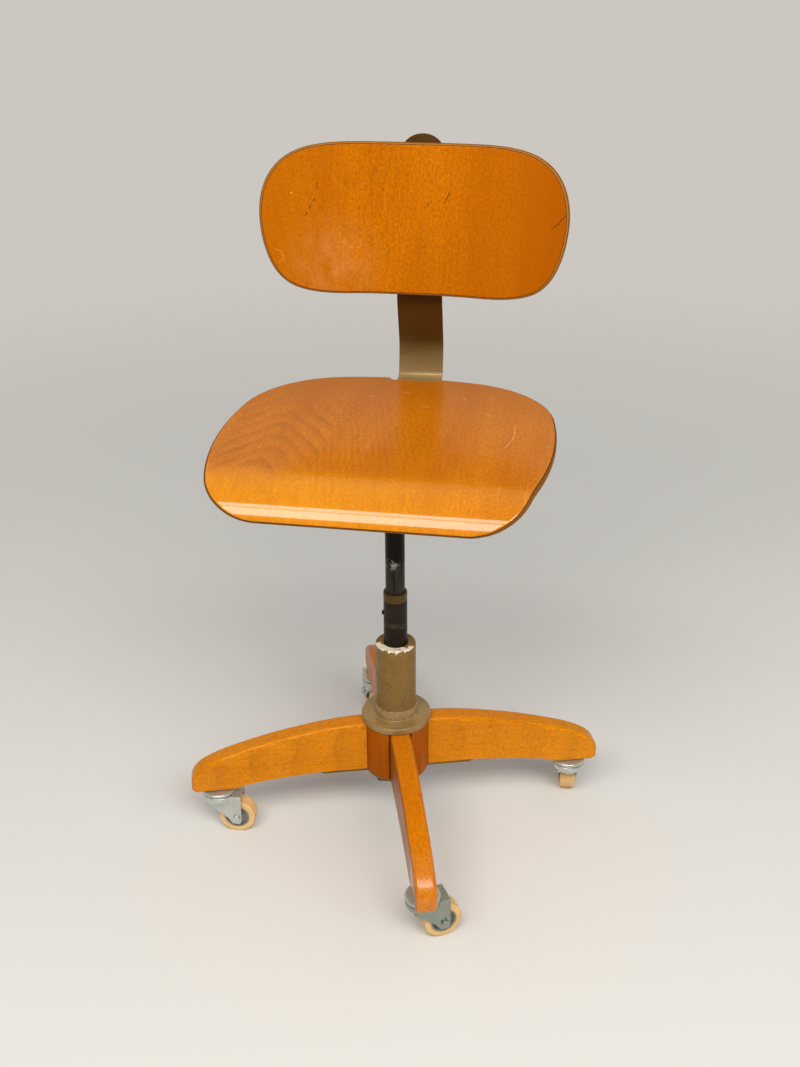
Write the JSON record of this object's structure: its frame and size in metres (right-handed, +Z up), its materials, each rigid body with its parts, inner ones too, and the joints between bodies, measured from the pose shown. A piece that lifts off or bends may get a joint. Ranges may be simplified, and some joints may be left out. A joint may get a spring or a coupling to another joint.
{
  "type": "swivel chair",
  "caption": "Swivel chair with moulded plywood seat and backrest, bowed steel back strap, telescopic column and curved wooden base on casters.",
  "frame": {"origin": "point on the floor below the column axis", "axes": "+Z up along the column, the sitter faces -Y, +X is the sitter's left"},
  "size_m": [0.494, 0.5038, 0.8074],
  "materials": {
    "plywood": "lacquered",
    "beech": "lacquered",
    "hub_wood": "lacquered",
    "olive_enamel": "worn enamel",
    "dark_enamel": "enamel",
    "shaft_steel": "dark, worn",
    "plain_steel": "dull",
    "bush_brass": "dull",
    "knob": "moulded",
    "zinc": "zinc plated",
    "wheel_core": "moulded",
    "tyre": "smooth"
  },
  "bodies": {
    "base": {"cross_plate": "olive_enamel", "plate_screws": "plain_steel", "leg_front": "beech", "leg_right": "beech", "leg_rear": "beech", "leg_left": "beech", "hub_block_1": "hub_wood", "hub_block_2": "hub_wood", "hub_block_3": "hub_wood", "hub_block_4": "hub_wood", "column_flange": "olive_enamel", "column_sleeve": "olive_enamel", "column_nut": "dark_enamel", "guide_bush": "bush_brass", "caster_stems": "zinc", "caster_races": "zinc"},
    "column": {"guide_tube": "dark_enamel", "stop_pin": "dark_enamel", "tube_ring": "plain_steel", "tube_plug": "plain_steel", "thrust_washer": "bush_brass", "tube_cap": "olive_enamel"},
    "seat": {"seat_shaft": "shaft_steel", "seat_boss": "plain_steel", "seat_plate": "plain_steel", "seat_screws": "plain_steel", "seat_shell": "plywood", "strap_guide": "plain_steel", "guide_screws": "plain_steel", "depth_bolt": "plain_steel", "depth_washer": "plain_steel"},
    "depth_knob": {"depth_knob": "knob"},
    "strap": {"back_strap": "olive_enamel"},
    "carriage": {"back_carriage": "plain_steel", "back_stud": "plain_steel", "back_washer": "plain_steel", "pivot_pin": "plain_steel"},
    "back_knob": {"back_knob": "knob"},
    "backrest": {"back_shell": "plywood", "back_bracket": "plain_steel", "back_screws": "plain_steel"},
    "fork_front": {"fork_front": "zinc", "axle_front": "zinc"},
    "wheel_front": {"wheel_core_front": "wheel_core", "tyre_front": "tyre"},
    "fork_right": {"fork_right": "zinc", "axle_right": "zinc"},
    "wheel_right": {"wheel_core_right": "wheel_core", "tyre_right": "tyre"},
    "fork_rear": {"fork_rear": "zinc", "axle_rear": "zinc"},
    "wheel_rear": {"wheel_core_rear": "wheel_core", "tyre_rear": "tyre"},
    "fork_left": {"fork_left": "zinc", "axle_left": "zinc"},
    "wheel_left": {"wheel_core_left": "wheel_core", "tyre_left": "tyre"}
  },
  "joints": [
    {"name": "column_lift", "type": "slide", "parent": "base", "child": "column", "axis": [0, 0, 1], "range_m": [-0.035, 0.05]},
    {"name": "seat_swivel", "type": "hinge", "parent": "column", "child": "seat", "pos_m": [0, 0, 0.324], "axis": [0, 0, 1], "continuous": true},
    {"name": "back_depth", "type": "slide", "parent": "seat", "child": "strap", "axis": [0, 1, 0], "range_m": [-0.02, 0.025]},
    {"name": "depth_knob_turn", "type": "hinge", "parent": "seat", "child": "depth_knob", "pos_m": [0, 0.0985, 0.5], "axis": [0, 0, 1], "range_deg": [-180, 180]},
    {"name": "back_height", "type": "slide", "parent": "strap", "child": "carriage", "axis": [0, 0.1461, 0.9893], "range_m": [-0.02, 0.025]},
    {"name": "back_knob_turn", "type": "hinge", "parent": "carriage", "child": "back_knob", "pos_m": [0, 0.19454, 0.71345], "axis": [0, -0.9893, 0.1461], "range_deg": [-180, 180]},
    {"name": "back_tilt", "type": "hinge", "parent": "carriage", "child": "backrest", "pos_m": [0, 0.18702, 0.71456], "axis": [1, 0, 0], "range_deg": [-8, 8]},
    {"name": "swivel_front", "type": "hinge", "parent": "base", "child": "fork_front", "pos_m": [0.06557, -0.21314, 0.056], "axis": [0, 0, 1], "continuous": true},
    {"name": "roll_front", "type": "hinge", "parent": "fork_front", "child": "wheel_front", "pos_m": [0.08449, -0.20191, 0.0225], "axis": [0.5105, -0.8599, 0], "continuous": true},
    {"name": "swivel_right", "type": "hinge", "parent": "base", "child": "fork_right", "pos_m": [0.21314, 0.06557, 0.056], "axis": [0, 0, 1], "continuous": true},
    {"name": "roll_right", "type": "hinge", "parent": "fork_right", "child": "wheel_right", "pos_m": [0.21122, 0.08749, 0.0225], "axis": [0.9962, 0.0872, 0], "continuous": true},
    {"name": "swivel_rear", "type": "hinge", "parent": "base", "child": "fork_rear", "pos_m": [-0.06557, 0.21314, 0.056], "axis": [0, 0, 1], "continuous": true},
    {"name": "roll_rear", "type": "hinge", "parent": "fork_rear", "child": "wheel_rear", "pos_m": [-0.07487, 0.23308, 0.0225], "axis": [0.9063, 0.4226, 0], "continuous": true},
    {"name": "swivel_left", "type": "hinge", "parent": "base", "child": "fork_left", "pos_m": [-0.21314, -0.06557, 0.056], "axis": [0, 0, 1], "continuous": true},
    {"name": "roll_left", "type": "hinge", "parent": "fork_left", "child": "wheel_left", "pos_m": [-0.1912, -0.06396, 0.0225], "axis": [0.0732, -0.9973, 0], "continuous": true}
  ]
}
